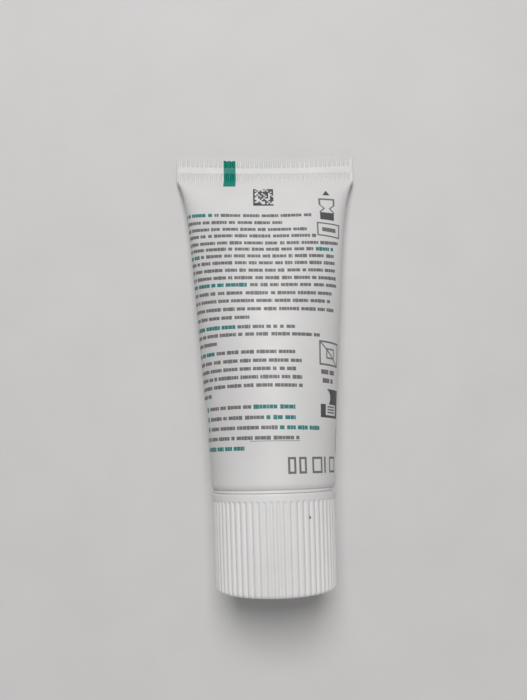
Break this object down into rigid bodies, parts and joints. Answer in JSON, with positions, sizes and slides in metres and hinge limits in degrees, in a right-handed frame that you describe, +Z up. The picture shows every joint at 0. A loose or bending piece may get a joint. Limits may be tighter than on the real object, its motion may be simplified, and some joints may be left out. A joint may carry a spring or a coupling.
{
  "type": "toothpaste tube",
  "caption": "Soft filled tube lying on its side, with a flat toothed crimp and a ribbed screw cap that unscrews off its nozzle.",
  "frame": {"origin": "middle of the base of the bounding box, on the surface the tube lies on", "axes": "+Z up, +Y towards the crimp and -Y towards the cap, X across the tube along the crimp"},
  "size_m": [0.0388, 0.0914, 0.028],
  "materials": {
    "sleeve": "satin white laminate with grey print",
    "tube_head": "satin white moulding",
    "paste": "moist white paste",
    "cap_liner": "soft white foam",
    "cap": "satin white moulding"
  },
  "bodies": {
    "tube": {"sleeve": "sleeve", "tube_head": "tube_head", "paste": "paste"},
    "liner": {"cap_liner": "cap_liner"},
    "screw_cap": {"cap": "cap"}
  },
  "joints": [
    {"name": "cap_lift", "type": "slide", "parent": "tube", "child": "liner", "axis": [0, -0.9848, 0.1736], "range_m": [0, 0.009]},
    {"name": "cap_turn", "type": "hinge", "parent": "liner", "child": "screw_cap", "pos_m": [0, -0.02558, 0.01311], "axis": [0, -0.9848, 0.1736], "range_deg": [0, 1080]}
  ],
  "couplings": [
    {"joint": "cap_lift", "follows": "cap_turn", "m_per_rad": 0.00047746}
  ]
}
